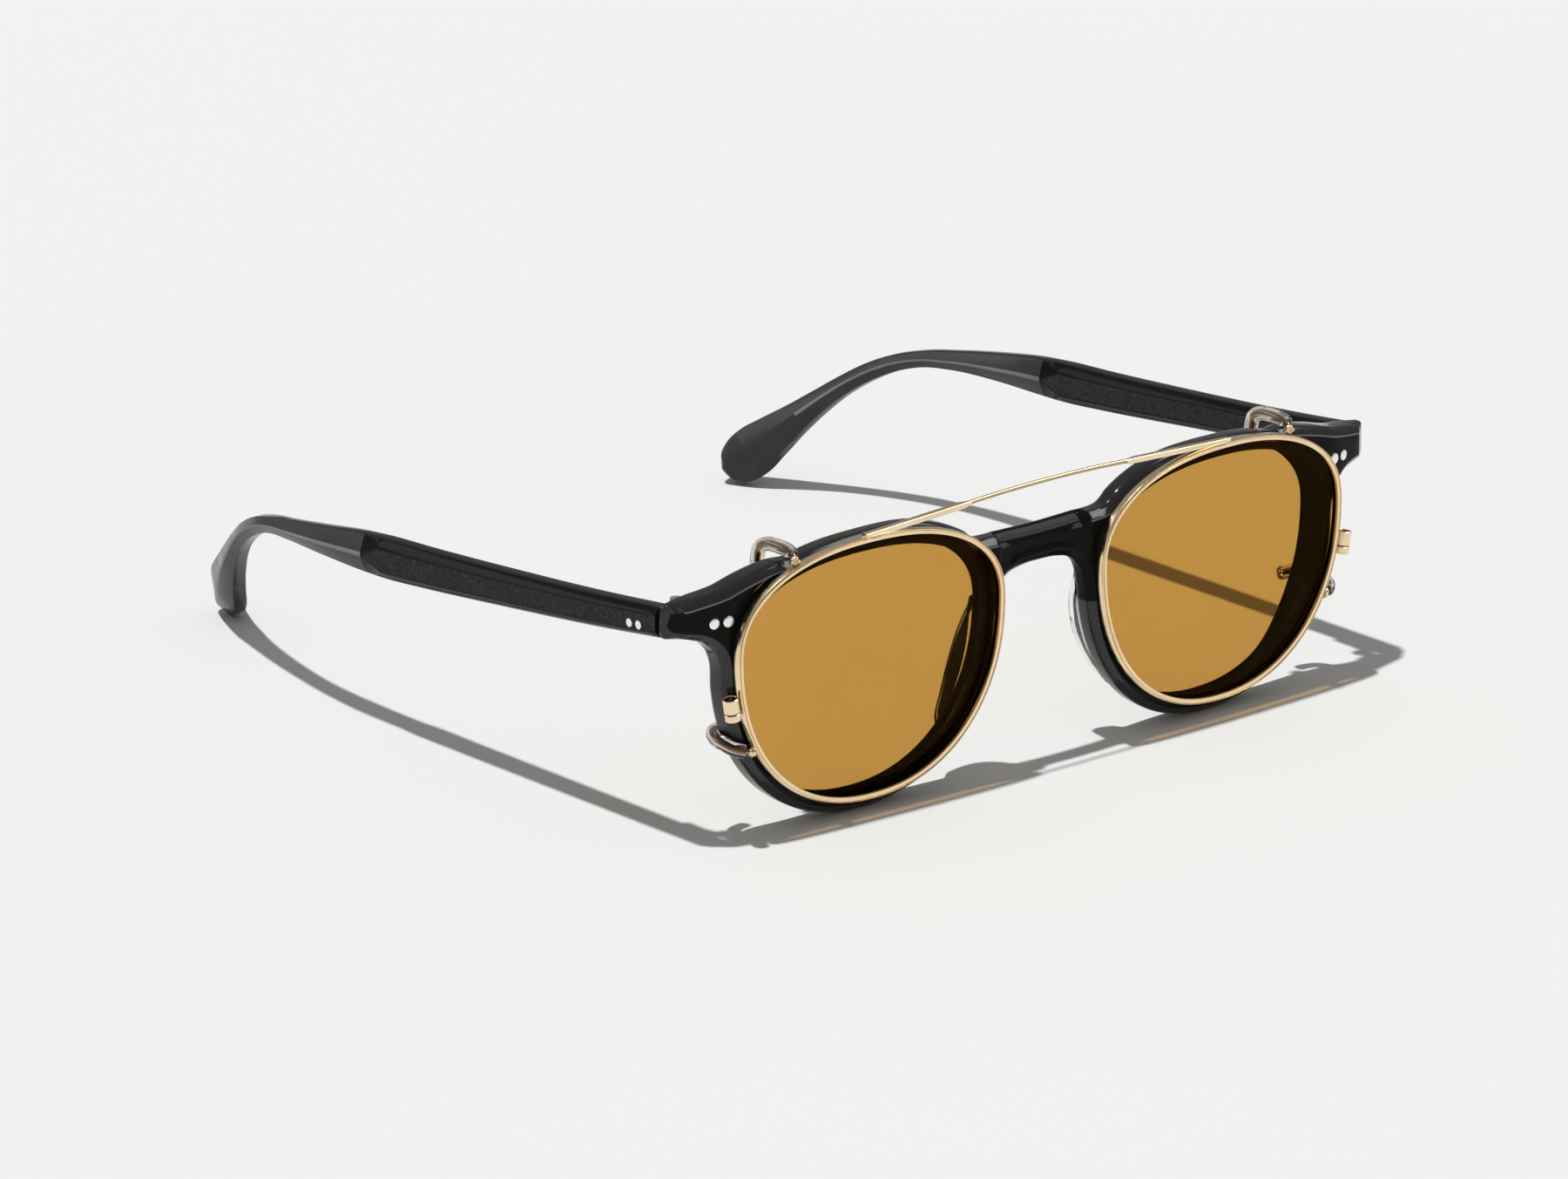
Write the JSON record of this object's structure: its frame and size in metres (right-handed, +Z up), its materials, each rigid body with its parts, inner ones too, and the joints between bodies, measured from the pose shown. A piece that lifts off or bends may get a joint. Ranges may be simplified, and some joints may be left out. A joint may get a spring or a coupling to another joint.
{
  "type": "clip on sunglasses",
  "caption": "Acetate optical glasses with folding arms and a gold wire clip-on frame of amber sun lenses held on the front by sleeved hooks.",
  "frame": {"origin": "centre of the bounding box in plan, at the height of the surface the glasses stand on; arms open", "axes": "+Z up; the front faces -Y and the arms run back to +Y; +X is the wearer's left, so pieces named right are at -X"},
  "size_m": [0.139, 0.1366, 0.0446],
  "materials": {
    "dark_acetate": "polished, with matte flat panels on the arms",
    "gold_wire": "bright pale gold plating",
    "steel": "satin",
    "clear_lens": "clear, polished",
    "amber_lens": "amber tint, polished",
    "clear_acetate": "clear, polished",
    "clear_sleeve": "clear, soft"
  },
  "bodies": {
    "frame": {"frame_front": "dark_acetate", "lens_right": "clear_lens", "lens_left": "clear_lens", "nose_pad_right": "clear_acetate", "nose_pad_left": "clear_acetate", "front_hinge_right": "steel", "front_hinge_left": "steel", "hinge_screw_right": "steel", "hinge_screw_left": "steel", "front_rivet_1_right": "steel", "front_rivet_1_left": "steel", "front_rivet_2_right": "steel", "front_rivet_2_left": "steel"},
    "temple_right": {"temple_right": "dark_acetate", "core_wire_right": "steel", "temple_hinge_right": "steel", "temple_rivet_1_right": "steel", "temple_rivet_2_right": "steel"},
    "temple_left": {"temple_left": "dark_acetate", "core_wire_left": "steel", "temple_hinge_left": "steel", "temple_rivet_1_left": "steel", "temple_rivet_2_left": "steel"},
    "clip": {"clip_bar": "gold_wire", "bar_foot_right": "gold_wire", "bar_foot_left": "gold_wire", "clip_rim_right": "gold_wire", "clip_rim_left": "gold_wire", "hook_upper_right": "gold_wire", "hook_upper_left": "gold_wire", "hook_lower_right": "gold_wire", "hook_lower_left": "gold_wire", "block_lower_right": "gold_wire", "block_lower_left": "gold_wire", "block_upper_right": "gold_wire", "block_upper_left": "gold_wire", "clip_lens_right": "amber_lens", "clip_lens_left": "amber_lens", "sleeve_upper_right": "clear_sleeve", "sleeve_upper_left": "clear_sleeve", "sleeve_lower_right": "clear_sleeve", "sleeve_lower_left": "clear_sleeve", "block_screw_right": "steel", "block_screw_left": "steel"}
  },
  "joints": [
    {"name": "temple_right_fold", "type": "hinge", "parent": "frame", "child": "temple_right", "pos_m": [-0.0636, -0.0573, 0.0347], "axis": [0, 0, -1], "range_deg": [0, 84]},
    {"name": "temple_left_fold", "type": "hinge", "parent": "frame", "child": "temple_left", "pos_m": [0.0636, -0.0573, 0.0347], "axis": [0, 0, 1], "range_deg": [0, 70]},
    {"name": "clip_off", "type": "slide", "parent": "frame", "child": "clip", "axis": [0, -1, 0], "range_m": [0, 0.03], "deforming": ["hook_upper_right", "hook_upper_left", "hook_lower_right", "hook_lower_left", "sleeve_upper_right", "sleeve_upper_left", "sleeve_lower_right", "sleeve_lower_left"]}
  ]
}
